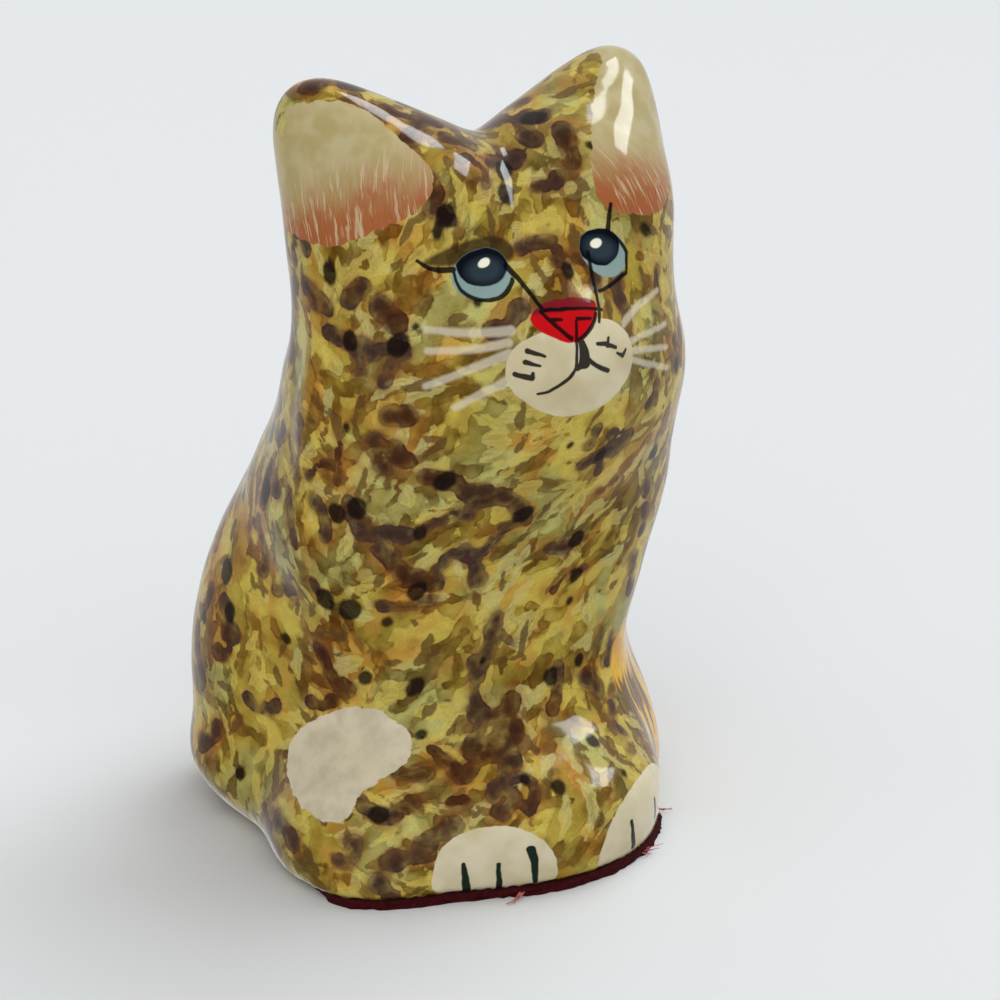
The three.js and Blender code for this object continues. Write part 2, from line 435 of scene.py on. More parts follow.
# Layers of dabs, as they are laid one over another: name, how many, half lengths, half widths, how far they
# stray from the combing in radians, whether their ends are pointed, and whether they show the brush's hairs
LAYERS = [
    ("wash_dabs", 700, (2.4, 5.2), (0.9, 2.0), 0.45, False, True),
    ("warm_dabs", 300, (1.8, 3.6), (0.6, 1.2), 0.4, False, False),
    ("umber_dabs", 900, (1.6, 4.2), (0.4, 1.1), 0.5, False, True),
    ("light_dabs", 800, (1.5, 3.6), (0.45, 1.0), 0.6, True, True),
    ("streak_dabs", 620, (1.1, 2.6), (0.28, 0.5), 0.6, True, False),
]
BLOTCHES = 200

# Near-black spots by place and radius, and how many small ones lie anywhere
DARK_SPOTS = [
    (-26.7, 32.2, 1.2), (-23.8, 31.1, 1.2), (-21.6, 43.7, 1.1), (-23.9, 42.9, 1.0), (-35.5, 41.9, 1.3),
    (-16.6, 33.4, 1.0), (-3.2, 41.5, 1.1), (-12.7, 47.3, 1.2), (-43, 29.6, 1.2), (-41.1, 25.6, 1.0),
    (-23.3, 22.5, 0.8), (-17.1, 21.5, 1.0), (5.2, 20.1, 1.0), (8.7, 31.8, 0.9), (17.3, 45, 0.9),
    (-17, 62.2, 1.1), (-22, 62.3, 0.9), (-2.1, 77.9, 1.1), (-3.1, 75.7, 1.1), (-13, 75.3, 1.1),
    (12.4, 82.1, 1.2), (-23.8, 84.5, 0.9), (7.5, 36.3, 1.0), (-18.6, 10, 1.0), (-1, 11.3, 0.9),
    (6.6, 13.5, 0.9), (6, 47.6, 0.8),
]
SMALL_SPOTS = 60
SMALL_SPOT_RADII = 0.45, 0.9


def paint_marks(cat):
    """Lays every layer of the coat and the outlines of the painted areas."""
    skin = Skin(cat)
    rng = np.random.default_rng(21)
    comb = np.zeros(len(skin.points))
    for name, count, longs, wides, spread, pointed, hairy in LAYERS:
        lay_layer(skin, rng, name, count, longs, wides, spread, pointed, comb if hairy else None)
    lay_trails(skin, rng, "blotch_dabs", BLOTCHES)
    spots = np.full(len(skin.points), UNMARKED)
    for u, z, radius in DARK_SPOTS:
        lay_dab(skin, spots, skin.at((u, z)), combed((u, z), 0.2), radius * 1.25, radius)
    for index in rng.choice(skin.paintable, SMALL_SPOTS):
        radius = rng.uniform(*SMALL_SPOT_RADII)
        lay_dab(skin, spots, index, combed(skin.places[index], 0.3), radius * rng.uniform(1.1, 1.6), radius)
    skin.write("spot_dabs", spots)
    skin.write("comb", comb)
    from_front = skin.points[:, [0, 2]]
    areas = {
        "ear_area": (from_front, [NEAR_EAR, FAR_EAR]),
        "hip_area": (skin.places, [HIP_PATCH]),
        "paw_area": (skin.places, [NEAR_PAW, FAR_PAW]),
        "muzzle_area": (skin.places, [MUZZLE]),
        "nose_area": (skin.places, [NOSE]),
        "thigh_area": (skin.places, [THIGH]),
        "lid_area": (skin.places, [LID_SHADE]),
    }
    for name, (places, outlines) in areas.items():
        field = np.maximum.reduce([inside_outline(places, rounded(outline)) for outline in outlines])
        if name == "ear_area":
            field = np.minimum(field, EAR_PAINT_BACK_Y - skin.points[:, 1])
        skin.write(name, np.clip(field, *AREA_RANGE))


# Shader helpers

def srgb(red, green, blue):
    """A screen colour from 0 to 255, as the linear colour that a shader takes."""
    linear = [c / 12.92 if c <= 0.04045 else ((c + 0.055) / 1.055) ** 2.4
              for c in (red / 255, green / 255, blue / 255)]
    return (*linear, 1.0)


def feed(tree, node, inputs):
    """Sets a node's inputs, by name or number, to values or links."""
    for socket, value in inputs.items():
        if isinstance(value, bpy.types.NodeSocket):
            tree.links.new(value, node.inputs[socket])
        else:
            node.inputs[socket].default_value = value


def add(tree, kind, inputs=None, **settings):
    """A shader node with its settings and inputs."""
    made = tree.nodes.new("ShaderNode" + kind)
    for key, value in settings.items():
        setattr(made, key, value)
    feed(tree, made, inputs or {})
    return made


def maths(tree, operation, a, b=0.0, c=0.0, clamp=False):
    """A sum on numbers."""
    return add(tree, "Math", {0: a, 1: b, 2: c}, operation=operation, use_clamp=clamp).outputs[0]


def vectors(tree, operation, a, b=None):
    """A sum on vectors."""
    inputs = {0: a} if b is None else {0: a, 1: b}
    return add(tree, "VectorMath", inputs, operation=operation)


def scaled(tree, vector, factor):
    """A vector times a number."""
    return add(tree, "VectorMath", {0: vector, 3: factor}, operation="SCALE").outputs[0]


def mixed(tree, share, under, over, blend="MIX"):
    """Paint over paint, by a share from 0 to 1."""
    made = add(tree, "Mix", {0: share, 6: under, 7: over}, data_type="RGBA", blend_type=blend)
    made.clamp_factor = True
    return made.outputs[2]


def ramped(tree, value, low, high, to_low=0.0, to_high=1.0):
    """A value turned smoothly from one range to another."""
    return add(tree, "MapRange", {0: value, 1: low, 2: high, 3: to_low, 4: to_high},
               interpolation_type="SMOOTHSTEP").outputs[0]


def part_of(tree, mask, share):
    """A thinner coat through the same mask."""
    return maths(tree, "MULTIPLY", mask, share)


def noise(tree, where, scale_mm, detail=2.0, roughness=0.5, distortion=0.0):
    """Noise whose features are about scale_mm across."""
    return add(tree, "TexNoise", {"Vector": where, "Scale": 1 / (scale_mm * MM), "Detail": detail,
                                  "Roughness": roughness, "Distortion": distortion}).outputs[0]


def three_noises(tree, where, scale_mm, detail):
    """Three noises of one scale that don't follow each other."""
    made = add(tree, "TexNoise", {"Vector": where, "Scale": 1 / (scale_mm * MM), "Detail": detail})
    return add(tree, "SeparateColor", {0: made.outputs["Color"]}).outputs


def painted_on(tree, name):
    """A field that was written on the figure's points."""
    return add(tree, "Attribute", attribute_name=name).outputs["Fac"]


def new_group(name, inputs, outputs):
    """A node group with named sockets, and its input and output nodes."""
    group = bpy.data.node_groups.new(name, "ShaderNodeTree")
    for label, kind, value in inputs:
        socket = group.interface.new_socket(label, in_out="INPUT", socket_type="NodeSocket" + kind)
        if value is not None:
            socket.default_value = value
    for label, kind in outputs:
        group.interface.new_socket(label, in_out="OUTPUT", socket_type="NodeSocket" + kind)
    return group, group.nodes.new("NodeGroupInput").outputs, group.nodes.new("NodeGroupOutput").inputs


def place(tree, group, inputs):
    """A group placed in a material, and its outputs."""
    made = add(tree, "Group", node_tree=group)
    feed(tree, made, inputs)
    return made.outputs


def new_material(name):
    """A material, its nodes and its Principled shader."""
    material = bpy.data.materials.new(name)
    material.use_nodes = True
    return material, material.node_tree, material.node_tree.nodes["Principled BSDF"]


# How far the hand trembles, in millimetres, and over what distance
TREMBLE = 0.3
TREMBLE_SCALE = 1.6


def unrolled_place_group():
    """Gives the unrolled place of a point in millimetres, with a slight tremble of the hand."""
    group, given, result = new_group("unrolled_place", [("Position", "Vector", None)], [("Place", "Vector")])
    split = add(group, "SeparateXYZ", {0: given["Position"]}).outputs
    back = maths(group, "SUBTRACT", UNROLL_MIDDLE_Y * MM, split[1])
    angle = maths(group, "ARCTAN2", split[0], back)
    u = maths(group, "MULTIPLY", angle, UNROLL_RADIUS)
    z = maths(group, "MULTIPLY", split[2], 1 / MM)
    tremble = three_noises(group, given["Position"], TREMBLE_SCALE, 1.0)
    u = maths(group, "ADD", u, maths(group, "MULTIPLY_ADD", tremble[0], TREMBLE, -TREMBLE / 2))
    z = maths(group, "ADD", z, maths(group, "MULTIPLY_ADD", tremble[1], TREMBLE, -TREMBLE / 2))
    group.links.new(add(group, "CombineXYZ", {0: u, 1: z}).outputs[0], result["Place"])
    return group


def painted_stroke_group():
    """One brush line from Start to End, as a mask."""
    group, given, result = new_group(
        "painted_stroke",
        [("Place", "Vector", None), ("Start", "Vector", None), ("End", "Vector", None),
         ("Bow", "Vector", None),
         ("Start Width", "Float", 0.3), ("End Width", "Float", 0.2), ("Soft", "Float", 0.08)],
        [("Mask", "Float")],
    )
    run = vectors(group, "SUBTRACT", given["End"], given["Start"]).outputs[0]
    from_start = vectors(group, "SUBTRACT", given["Place"], given["Start"]).outputs[0]
    reached = vectors(group, "DOT_PRODUCT", from_start, run).outputs["Value"]
    length = vectors(group, "DOT_PRODUCT", run, run).outputs["Value"]
    share = maths(group, "DIVIDE", reached, length, clamp=True)
    hump = maths(group, "MULTIPLY", maths(group, "MULTIPLY_ADD", share, -1.0, 1.0), share)
    on_line = scaled(group, run, share)
    bowed = scaled(group, given["Bow"], hump)
    off_line = vectors(group, "SUBTRACT", vectors(group, "SUBTRACT", from_start, on_line).outputs[0], bowed)
    gap = vectors(group, "LENGTH", off_line.outputs[0]).outputs["Value"]
    widening = maths(group, "SUBTRACT", given["End Width"], given["Start Width"])
    width = maths(group, "MULTIPLY_ADD", widening, share, given["Start Width"])
    inside = maths(group, "SUBTRACT", maths(group, "MULTIPLY", width, 0.5), gap)
    mask = maths(group, "ADD", maths(group, "DIVIDE", inside, given["Soft"]), 0.5, clamp=True)
    group.links.new(mask, result["Mask"])
    return group


def painted_oval_group():
    """One oval touch of paint, as a mask."""
    group, given, result = new_group(
        "painted_oval",
        [("Place", "Vector", None), ("Centre", "Vector", None), ("Half Size", "Vector", (1, 1, 1)),
         ("Turn", "Float", 0.0), ("Soft", "Float", 0.08)],
        [("Mask", "Float")],
    )
    offset = vectors(group, "SUBTRACT", given["Place"], given["Centre"]).outputs[0]
    back_turn = maths(group, "MULTIPLY", given["Turn"], -1.0)
    turned = add(group, "VectorRotate", {"Vector": offset, "Angle": back_turn}, rotation_type="Z_AXIS")
    in_radii = vectors(group, "DIVIDE", turned.outputs[0], given["Half Size"]).outputs[0]
    radius = vectors(group, "LENGTH", in_radii).outputs["Value"]
    half_size = add(group, "SeparateXYZ", {0: given["Half Size"]}).outputs
    within = maths(group, "SUBTRACT", 1.0, radius)
    inside = maths(group, "MULTIPLY", within, maths(group, "MINIMUM", half_size[0], half_size[1]))
    mask = maths(group, "ADD", maths(group, "DIVIDE", inside, given["Soft"]), 0.5, clamp=True)
    group.links.new(mask, result["Mask"])
    return group


PLACE_GROUP = unrolled_place_group()
STROKE_GROUP = painted_stroke_group()
OVAL_GROUP = painted_oval_group()

YELLOW_GROUND = srgb(194, 176, 82)
OCHRE_GROUND = srgb(190, 150, 66)
GREEN_GROUND = srgb(182, 178, 108)
LIGHT_STROKE = srgb(200, 182, 92)
PALE_STROKE = srgb(192, 184, 122)
ORANGE_GLAZE = srgb(186, 124, 52)
OLIVE_WASH = (0.52, 0.45, 0.30, 1.0)
UMBER_WASH = (0.42, 0.31, 0.22, 1.0)
PURPLE_BROWN = srgb(66, 46, 44)
MAROON_BROWN = srgb(72, 38, 20)
DASH_BROWN = srgb(92, 66, 34)
HALO = srgb(176, 122, 62)
NEAR_BLACK = srgb(24, 12, 12)
CREAM = srgb(200, 188, 158)
KHAKI = srgb(170, 156, 110)
PALE_KHAKI = srgb(182, 171, 134)
SALMON = srgb(158, 88, 50)
THIGH_YELLOW = srgb(226, 178, 40)
THIGH_ORANGE = srgb(208, 150, 36)
STRIPE_BROWN = srgb(40, 24, 12)
HIP_WHITE = srgb(208, 200, 180)
HIP_GREY = srgb(188, 180, 160)
PAW_WHITE = srgb(211, 203, 182)
PAW_CREAM = srgb(195, 185, 152)
TOE_INK = srgb(26, 40, 34)
MUZZLE_WHITE = srgb(210, 202, 176)
MUZZLE_CREAM = srgb(194, 182, 150)
WHISKER_WHITE = srgb(222, 216, 200)
LID_BROWN = srgb(52, 36, 18)
EYE_BLUE = srgb(134, 158, 160)
IRIS_NAVY = srgb(8, 14, 26)
IRIS_SLATE = srgb(50, 64, 76)
EYE_LIGHT = srgb(240, 240, 228)
NOSE_RED = srgb(190, 12, 20)
NOSE_DULL = srgb(120, 22, 34)
INK = srgb(6, 8, 12)


# The layers that the coat reads. The hairs of the brush show along each dab: how close they lie, and how
# fast they change along it
FIELDS = ["Wash", "Warm", "Umber", "Light", "Streak", "Blotch", "Spot", "Comb"]
HAIRS_PER_MM = 3.4
HAIR_DRIFT = 250.0


def mottled_coat_group():
    """The cat's coat: yellow-green ground and strokes among olive, umber and purple-brown dabs."""
    group, given, result = new_group(
        "mottled_coat",
        [("Position", "Vector", None)] + [(name, "Float", 0.0) for name in FIELDS],
        [("Colour", "Color")],
    )
    where = given["Position"]
    coarse = three_noises(group, where, 1.8, 1.0)
    fine = three_noises(group, where, 0.4, 1.0)
    ragged = []
    for wide, small in zip(coarse[:3], fine[:3]):
        both = maths(group, "MULTIPLY_ADD", wide, 1.8, -0.9)
        ragged.append(maths(group, "ADD", both, maths(group, "MULTIPLY_ADD", small, 0.3, -0.15)))

    def edge_of(name, which):
        """A layer's field with a ragged edge."""
        return maths(group, "ADD", given[name], ragged[which])

    def covered(edge, share, soft=0.08):
        """Covered evenly with paint up to an edge."""
        return maths(group, "MULTIPLY", ramped(group, edge, -soft, soft), share)

    def bled(edge, wetness):
        """Covered with an edge that is crisp where the paint was dry and runs out where it was wet."""
        soft = ramped(group, wetness, 0.42, 0.62, 0.08, 0.8)
        return ramped(group, edge, maths(group, "MULTIPLY", soft, -1.0), soft)

    def rimmed(edge, share, width=0.35):
        """A darker rim, where wet paint dried last."""
        inner = ramped(group, edge, width, 0.12)
        rim = maths(group, "MULTIPLY", ramped(group, edge, -0.05, 0.06), inner)
        return maths(group, "MULTIPLY", rim, share)

    combing = add(group, "CombineXYZ", {0: given["Comb"]}).outputs[0]
    drift = scaled(group, where, HAIR_DRIFT)
    in_hairs = vectors(group, "ADD", combing, drift).outputs[0]
    hairs = add(group, "TexNoise", {"Vector": in_hairs, "Scale": HAIRS_PER_MM, "Detail": 2.0}).outputs[0]
    cloud = three_noises(group, where, 9.0, 1.0)
    pool = three_noises(group, where, 2.6, 2.0)
    colour = mixed(group, ramped(group, cloud[0], 0.48, 0.62), YELLOW_GROUND, OCHRE_GROUND)
    colour = mixed(group, ramped(group, cloud[1], 0.5, 0.62), colour, GREEN_GROUND)
    haze = noise(group, where, 5.0, 2.0)
    colour = mixed(group, ramped(group, haze, 0.5, 0.66, 0.0, 0.6), colour, OLIVE_WASH, "MULTIPLY")
    wash, umber, light = edge_of("Wash", 0), edge_of("Umber", 1), edge_of("Light", 2)
    smooth_blotch = maths(group, "MULTIPLY_ADD", ragged[2], 0.45, given["Blotch"])
    smooth_spot = maths(group, "MULTIPLY_ADD", ragged[1], 0.35, given["Spot"])
    streak = edge_of("Streak", 2)
    pooled = ramped(group, pool[0], 0.3, 0.65, 0.45, 1.0)
    thick = maths(group, "MULTIPLY", pooled, ramped(group, hairs, 0.3, 0.7, 0.7, 1.1))
    washed = maths(group, "MULTIPLY", bled(wash, pool[2]), thick)
    colour = mixed(group, washed, colour, OLIVE_WASH, "MULTIPLY")
    colour = mixed(group, rimmed(wash, 0.4), colour, OLIVE_WASH, "MULTIPLY")
    colour = mixed(group, covered(edge_of("Warm", 1), 0.35, 0.5), colour, ORANGE_GLAZE)
    deep = ramped(group, pool[1], 0.3, 0.6, 0.5, 1.0)
    browned = maths(group, "MULTIPLY", bled(umber, pool[0]), deep)
    colour = mixed(group, browned, colour, UMBER_WASH, "MULTIPLY")
    colour = mixed(group, rimmed(umber, 0.4), colour, UMBER_WASH, "MULTIPLY")
    stroke_colour = mixed(group, ramped(group, cloud[2], 0.44, 0.62), LIGHT_STROKE, PALE_STROKE)
    scumble = ramped(group, hairs, 0.3, 0.65, 0.45, 0.75)
    lightened = maths(group, "MULTIPLY", covered(light, 1.0), scumble)
    colour = mixed(group, lightened, colour, stroke_colour)
    colour = mixed(group, covered(streak, 0.8, 0.12), colour, DASH_BROWN)
    full = ramped(group, pool[2], 0.3, 0.6, 0.6, 0.95)
    warmth = mixed(group, ramped(group, cloud[0], 0.42, 0.6), PURPLE_BROWN, MAROON_BROWN)
    colour = mixed(group, part_of(group, ramped(group, smooth_blotch, -0.9, 0.1), 0.3), colour, HALO)
    blotched = maths(group, "MULTIPLY", bled(smooth_blotch, pool[1]), full)
    colour = mixed(group, blotched, colour, warmth)
    colour = mixed(group, rimmed(smooth_blotch, 0.25), colour, NEAR_BLACK)
    colour = mixed(group, part_of(group, ramped(group, smooth_blotch, 0.3, 1.0), 0.4), colour, NEAR_BLACK)
    colour = mixed(group, covered(smooth_spot, 0.92, 0.22), colour, NEAR_BLACK)
    grain = noise(group, where, 0.2, 3.0, 0.7)
    hair_tone = ramped(group, hairs, 0.3, 0.7, 0.93, 1.06)
    tone = maths(group, "MULTIPLY", hair_tone, ramped(group, grain, 0.3, 0.7, 0.88, 1.08))
    toned = add(group, "HueSaturation", {"Value": tone, "Color": colour}).outputs[0]
    group.links.new(toned, result["Colour"])
    return group


def stroke(tree, at, start, end, width, end_width=None, bow=0.0, soft=0.10):
    """A brush line between two unrolled places; bow is how far its middle stands off, to its left."""
    run = Vector((end[0] - start[0], end[1] - start[1], 0))
    side = Vector((-run.y, run.x, 0)).normalized() * (4 * bow)
    return place(tree, STROKE_GROUP, {
        "Place": at, "Start": (*start, 0), "End": (*end, 0), "Bow": side,
        "Start Width": width, "End Width": width if end_width is None else end_width, "Soft": soft,
    })["Mask"]


def oval(tree, at, centre, half_size, turn=0.0, soft=0.12):
    """An oval touch of paint at an unrolled place, turned in degrees."""
    return place(tree, OVAL_GROUP, {
        "Place": at, "Centre": (*centre, 0), "Half Size": (*half_size, 1), "Turn": math.radians(turn),
        "Soft": soft,
    })["Mask"]


def most(tree, masks):
    """The union of several masks, joined as each is made, so that the shader holds few at a time."""
    total = 0.0
    for mask in masks:
        total = maths(tree, "MAXIMUM", total, mask)
    return total


# Each eye by the centre and half size of its ball, iris and slate sheen, the centre of its light,
# and its turn in degrees
EYES = [
    (((-8.5, 68.95), (3.65, 2.5)), ((-8.35, 70.15), (3.35, 2.4)), ((-8.2, 69.3), (2.2, 1.2)),
     (-8.3, 70.0), -3),
    (((8.6, 69.25), (3.0, 2.5)), ((8.0, 70.3), (2.9, 2.3)), ((8.3, 69.7), (1.9, 1.2)),
     (8.0, 70.3), -12),
]
EYE_LIGHT_HALF_SIZE = 0.8, 0.45
EYE_LIGHT_TURN = 10

# Whiskers by start, end, width and bow; ink lines by start, end, the widths there, and bow
WHISKERS = [
    ((-6.0, 63.5), (-14.6, 63.9), 0.75, 0.25), ((-6.4, 62.4), (-14.4, 61.8), 0.7, 0.3),
    ((-6.4, 61.3), (-14.4, 58.2), 0.75, 0.0), ((-6.4, 58.6), (-11.7, 55.9), 0.8, 0.0),
    ((7.9, 62.1), (15.2, 64.0), 0.65, 0.2), ((8.7, 60.2), (15.6, 60.2), 0.6, 0.0),
    ((8.6, 59.1), (15.3, 57.8), 0.6, 0.0), ((8.4, 58.2), (15.2, 55.4), 0.6, 0.0),
]
INK_LINES = [
    # near eye: lash, lids and the line down to the nose
    ((-12.0, 69.7), (-15.6, 70.9), 0.45, 0.25, 0.35), ((-11.9, 69.4), (-8.4, 66.4), 0.25, 0.3, -0.8),
    ((-8.4, 66.4), (-4.9, 68.0), 0.3, 0.4, -0.5), ((-5.4, 69.4), (-2.2, 65.2), 0.5, 0.3, 0.25),
    # far eye
    ((9.8, 71.4), (10.9, 74.0), 0.45, 0.3, 0.0), ((9.8, 71.1), (11.6, 68.8), 0.3, 0.35, 0.3),
    ((11.6, 68.8), (10.9, 66.9), 0.3, 0.25, 0.1), ((10.9, 66.9), (6.0, 65.8), 0.3, 0.25, 0.2),
    ((6.6, 69.5), (4.2, 63.2), 0.35, 0.3, 0.2),
    # nose
    ((-2.5, 65.1), (1.2, 64.9), 0.25, 0.25, 0.1), ((1.2, 64.9), (5.1, 64.2), 0.25, 0.25, 0.1),
    ((-2.5, 65.0), (0.2, 62.2), 0.25, 0.35, 0.0), ((4.1, 64.0), (0.9, 61.9), 0.3, 0.35, 0.3),
    ((-1.6, 64.2), (-0.4, 64.1), 0.3, 0.2, 0.0), ((1.2, 63.7), (0.8, 62.2), 0.25, 0.3, 0.0),
    ((1.4, 63.9), (3.2, 63.7), 0.25, 0.2, 0.0),
    # mouth
    ((0.7, 61.9), (0.4, 59.3), 0.25, 0.28, 0.0), ((0.4, 59.3), (-1.6, 57.4), 0.28, 0.3, 0.25),
    ((-1.6, 57.4), (-3.6, 56.8), 0.3, 0.22, 0.08),
    ((1.3, 61.6), (1.4, 59.6), 0.6, 1.0, 0.1), ((1.3, 59.6), (0.6, 59.1), 0.8, 0.4, 0.0),
    ((1.8, 60.0), (4.5, 58.0), 0.35, 0.35, -0.2),
    # whisker roots
    ((-4.6, 61.5), (-2.9, 60.8), 0.4, 0.2, 0.0), ((-4.8, 60.4), (-3.4, 59.9), 0.4, 0.2, 0.0),
    ((-5.9, 59.2), (-4.2, 58.7), 0.35, 0.45, -0.1), ((-4.2, 58.7), (-4.1, 59.2), 0.4, 0.25, 0.0),
    ((3.2, 61.2), (4.5, 60.9), 0.25, 0.4, 0.0), ((4.9, 61.4), (4.6, 60.7), 0.3, 0.4, 0.0),
    ((4.6, 60.7), (5.8, 60.2), 0.4, 0.3, 0.0), ((5.9, 59.6), (6.9, 59.1), 0.2, 0.4, 0.0),
    ((6.9, 59.1), (7.5, 59.6), 0.4, 0.25, 0.0),
]
TOE_LINES = [
    ((-10.9, 4.6), (-10.6, 1.2), 0.35, 0.6, 0.0), ((-7.8, 4.4), (-7.6, 1.2), 0.3, 0.5, 0.0),
    ((-4.9, 6.0), (-4.2, 1.4), 0.7, 0.4, 0.1), ((6.1, 5.8), (7.0, 2.0), 0.35, 0.5, 0.0),
    ((10.6, 6.2), (11.4, 3.4), 0.35, 0.5, 0.0),
]


# How much fuller the brush made the lines than their measured middles
WHISKER_FULLNESS = 1.3
INK_FULLNESS = 1.45
TOE_FULLNESS = 1.3

# In the ears the salmon starts under slanting lines, z = slope * u + rise, and under a level one
SALMON_TOP_NEAR = 0.42, 89.3
SALMON_TOP_FAR = -0.25, 83.0
SALMON_TOP = 80.6
HAIR_SLANT = math.tan(math.radians(14))
RIPPLE_SCALE = 3.4
RIPPLE_HEIGHT = 0.09


def lacquered(tree, shader, colour, normal):
    """Thick clear yellowish lacquer over dry paint."""
    tree.links.new(colour, shader.inputs["Base Color"])
    tree.links.new(normal, shader.inputs["Normal"])
    shader.inputs["Roughness"].default_value = 0.9
    shader.inputs["Specular IOR Level"].default_value = 0.0
    shader.inputs["Coat Weight"].default_value = 1.0
    shader.inputs["Coat Roughness"].default_value = 0.09
    shader.inputs["Coat IOR"].default_value = 1.36
    shader.inputs["Coat Tint"].default_value = (1.0, 0.98, 0.91, 1.0)


def painted_coat_material():
    """Coat, painted areas, eyes, nose, mouth and whiskers under the lacquer."""
    material, tree, shader = new_material("painted_coat")
    where = add(tree, "TexCoord").outputs["Object"]
    at = place(tree, PLACE_GROUP, {"Position": where})["Place"]
    layers = {name: painted_on(tree, name.lower() + "_dabs") for name in FIELDS[:-1]}
    layers["Comb"] = painted_on(tree, "comb")
    colour = place(tree, mottled_coat_group(), {"Position": where, **layers})["Colour"]
    wobble = maths(tree, "MULTIPLY_ADD", noise(tree, where, 1.3, 2.0), 0.9, -0.45)
    split = add(tree, "SeparateXYZ", {0: at}).outputs
    u, z = split[0], split[1]

    def area(name, soft=0.06, ragged=1.0):
        """A painted area's mask, its edge wobbling as the hand did."""
        edge = maths(tree, "MULTIPLY_ADD", wobble, ragged, painted_on(tree, name))
        return ramped(tree, edge, -soft, soft)

    def lines(strokes, fullness):
        """The mask of several brush lines."""
        return most(tree, (stroke(tree, at, a, b, fullness * wide, fullness * end_wide, bow)
                           for a, b, wide, end_wide, bow in strokes))

    # whiskers lie under the muzzle's disc
    whiskers = most(tree, (stroke(tree, at, a, b, WHISKER_FULLNESS * width, width, bow, 0.3)
                           for a, b, width, bow in WHISKERS))
    colour = mixed(tree, part_of(tree, whiskers, 0.52), colour, WHISKER_WHITE)

    # ears: khaki above, salmon below, with cream hairs drawn down through it
    across_hairs = maths(tree, "MULTIPLY_ADD", z, 1.5 * HAIR_SLANT, maths(tree, "MULTIPLY", u, 1.5))
    fan = add(tree, "CombineXYZ", {0: across_hairs, 1: maths(tree, "MULTIPLY", z, 0.13)}).outputs[0]
    hairs = add(tree, "TexNoise", {"Vector": fan, "Scale": 1.5, "Detail": 3.0, "Roughness": 0.6}).outputs[0]
    blush = noise(tree, where, 3.0, 2.0)
    slants = [maths(tree, "MULTIPLY_ADD", u, *slant) for slant in (SALMON_TOP_NEAR, SALMON_TOP_FAR)]
    salmon_top = maths(tree, "MINIMUM", *slants)
    low_in_ear = maths(tree, "SUBTRACT", maths(tree, "MINIMUM", salmon_top, SALMON_TOP), z)
    depth = maths(tree, "MULTIPLY_ADD", hairs, 8.0, maths(tree, "MULTIPLY_ADD", blush, 5.0, low_in_ear))
    khaki = mixed(tree, ramped(tree, blush, 0.35, 0.65), KHAKI, PALE_KHAKI)
    ear = mixed(tree, ramped(tree, depth, 4.6, 11.6, 0.0, 0.95), khaki, SALMON)
    in_salmon = ramped(tree, low_in_ear, -3.0, 1.0)
    drawn = maths(tree, "MULTIPLY", ramped(tree, hairs, 0.52, 0.64, 0.0, 0.65), in_salmon)
    ear = mixed(tree, drawn, ear, CREAM)
    colour = mixed(tree, area("ear_area"), colour, ear)

    # orange-yellow left thigh with dark stripes
    striped = add(tree, "CombineXYZ", {0: u, 1: maths(tree, "MULTIPLY", z, 0.22)}).outputs[0]
    stripes = add(tree, "TexNoise", {"Vector": striped, "Scale": 0.55, "Detail": 1.0}).outputs[0]
    thigh = mixed(tree, ramped(tree, blush, 0.35, 0.65), THIGH_YELLOW, THIGH_ORANGE)
    thigh = mixed(tree, ramped(tree, stripes, 0.5, 0.58, 0.0, 0.85), thigh, STRIPE_BROWN)
    colour = mixed(tree, part_of(tree, area("thigh_area", 0.5), 0.92), colour, thigh)

    # white patch on the haunch
    hip = mixed(tree, ramped(tree, noise(tree, where, 2.2, 3.0), 0.35, 0.75), HIP_WHITE, HIP_GREY)
    colour = mixed(tree, area("hip_area"), colour, hip)

    # paws with dark toe lines
    paw = mixed(tree, ramped(tree, noise(tree, where, 4.0, 2.0), 0.35, 0.75), PAW_WHITE, PAW_CREAM)
    paw = mixed(tree, lines(TOE_LINES, TOE_FULLNESS), paw, TOE_INK)
    colour = mixed(tree, area("paw_area", ragged=0.4), colour, paw)

    # muzzle
    muzzle = mixed(tree, ramped(tree, noise(tree, where, 5.0, 2.0), 0.35, 0.7), MUZZLE_WHITE, MUZZLE_CREAM)
    colour = mixed(tree, area("muzzle_area", ragged=0.35), colour, muzzle)

    # brown shade over the near eye
    lid = ramped(tree, painted_on(tree, "lid_area"), -0.3, 0.25)
    colour = mixed(tree, part_of(tree, lid, 0.88), colour, LID_BROWN)

    # eyes: pale blue ball, dark iris and lid, and a white light
    for ball, iris, slate, light, turn in EYES:
        colour = mixed(tree, oval(tree, at, *ball, turn), colour, EYE_BLUE)
        iris_in_ball = maths(tree, "MULTIPLY", oval(tree, at, *iris, turn), oval(tree, at, *ball, turn))
        colour = mixed(tree, iris_in_ball, colour, IRIS_NAVY)
        colour = mixed(tree, part_of(tree, oval(tree, at, *slate, turn, 0.8), 0.8), colour, IRIS_SLATE)
        shine = oval(tree, at, light, EYE_LIGHT_HALF_SIZE, EYE_LIGHT_TURN)
        colour = mixed(tree, shine, colour, EYE_LIGHT)

    # nose: dull above, bright below
    nose = mixed(tree, ramped(tree, z, 64.6, 65.1), NOSE_RED, NOSE_DULL)
    colour = mixed(tree, area("nose_area", 0.08, 0.3), colour, nose)
    colour = mixed(tree, part_of(tree, lines(INK_LINES, INK_FULLNESS), 0.95), colour, INK)

    ripple = noise(tree, where, RIPPLE_SCALE, 1.0)
    bump = add(tree, "Bump", {"Strength": 1.0, "Distance": RIPPLE_HEIGHT * MM, "Height": ripple})
    lacquered(tree, shader, colour, bump.outputs[0])
    return material


